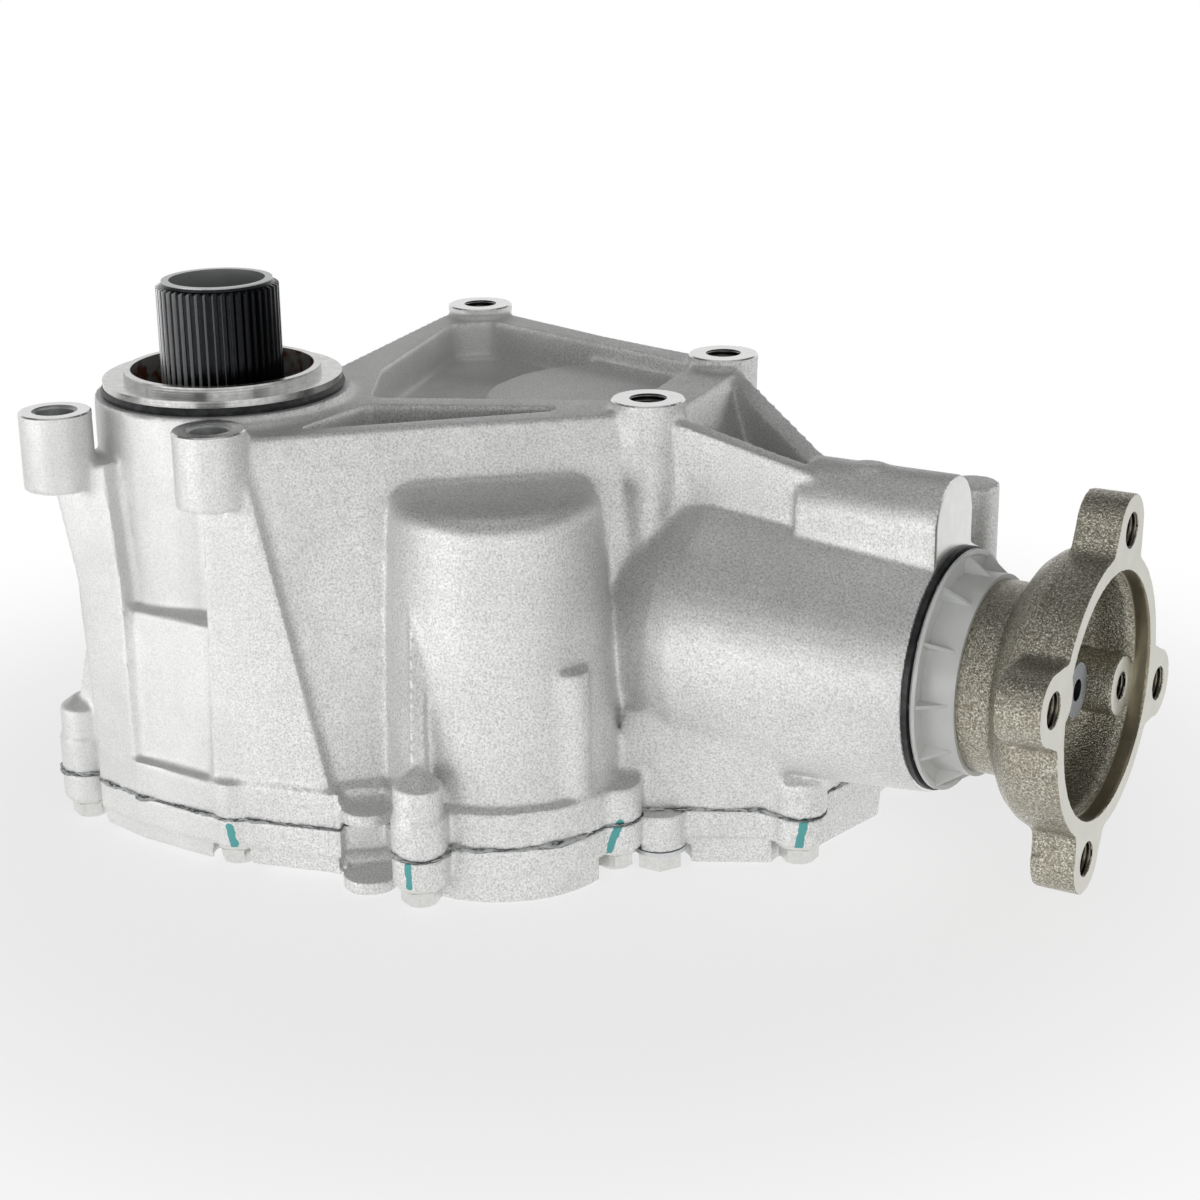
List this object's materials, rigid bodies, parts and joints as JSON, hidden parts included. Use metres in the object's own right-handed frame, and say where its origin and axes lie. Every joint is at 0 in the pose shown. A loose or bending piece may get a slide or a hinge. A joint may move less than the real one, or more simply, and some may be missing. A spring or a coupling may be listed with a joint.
{
  "type": "transfer case",
  "caption": "Right-angle transfer case with a splined hollow input shaft, cast housing with mounting bosses and a lobed output flange.",
  "frame": {"origin": "on the input axis, in the plane of the five mounting bosses", "axes": "+Z along the input shaft towards the gearbox, +X along the output shaft towards the propeller shaft, +Y across the case towards the back"},
  "size_m": [0.3581, 0.2673, 0.1965],
  "materials": {
    "cast_aluminium": "grainy as-cast",
    "cover_aluminium": "grainy as-cast",
    "sealant": "matte",
    "zinc_steel": "zinc plated",
    "bearing_steel": "ground",
    "washer_aluminium": "matte",
    "sleeve_steel": "turned",
    "black_rubber": "matte",
    "spline_steel": "dark and polished",
    "gear_steel": "ground",
    "bronze": "matte",
    "coated_iron": "coated casting with a machined face",
    "white_plastic": "milky"
  },
  "bodies": {
    "case": {"main_case": "cast_aluminium", "end_cover": "cover_aluminium", "sealant_bead": "sealant", "cover_bolts": "zinc_steel", "dowel_pins": "bearing_steel", "boss_sleeves": "bearing_steel", "drain_plug": "zinc_steel", "drain_plug_washer": "washer_aluminium", "fill_plug": "zinc_steel", "fill_plug_washer": "washer_aluminium", "input_sleeve": "sleeve_steel", "pilot_ring": "black_rubber", "input_oil_seal": "black_rubber", "halfshaft_seal": "black_rubber", "output_seal": "black_rubber", "neck_ring": "black_rubber", "input_upper_cup": "bearing_steel", "input_lower_cup": "bearing_steel", "idler_axle": "bearing_steel", "idler_washers": "bearing_steel", "ring_upper_cup": "bearing_steel", "ring_lower_cup": "bearing_steel", "pinion_cups": "bearing_steel"},
    "input": {"input_shaft": "spline_steel", "input_gear": "gear_steel", "input_upper_cone": "bearing_steel", "input_lower_cone": "bearing_steel"},
    "idler": {"idler_gear": "gear_steel", "idler_bush": "bronze"},
    "ring": {"ring_shaft": "gear_steel", "driven_gear": "gear_steel", "ring_gear": "gear_steel", "ring_upper_cone": "bearing_steel", "ring_lower_cone": "bearing_steel"},
    "output": {"pinion_shaft": "gear_steel", "pinion_cones": "bearing_steel", "crush_sleeve": "bearing_steel", "output_flange": "coated_iron", "pinion_nut": "zinc_steel", "pinion_washer": "zinc_steel", "dust_shield": "white_plastic"}
  },
  "joints": [
    {"name": "output_spin", "type": "hinge", "parent": "case", "child": "output", "pos_m": [0.2, 0.0665, -0.0823], "axis": [1, 0, 0], "continuous": true},
    {"name": "input_spin", "type": "hinge", "parent": "case", "child": "input", "pos_m": [0, 0, 0], "axis": [0, 0, 1], "continuous": true},
    {"name": "idler_spin", "type": "hinge", "parent": "case", "child": "idler", "pos_m": [0.06372, 0.0258, -0.13], "axis": [0, 0, 1], "continuous": true},
    {"name": "ring_spin", "type": "hinge", "parent": "case", "child": "ring", "pos_m": [0.116, 0.0665, -0.1], "axis": [0, 0, 1], "continuous": true}
  ],
  "couplings": [
    {"joint": "input_spin", "follows": "output_spin", "ratio": 0.40833},
    {"joint": "idler_spin", "follows": "output_spin", "ratio": -0.49},
    {"joint": "ring_spin", "follows": "output_spin", "ratio": 0.4375}
  ]
}
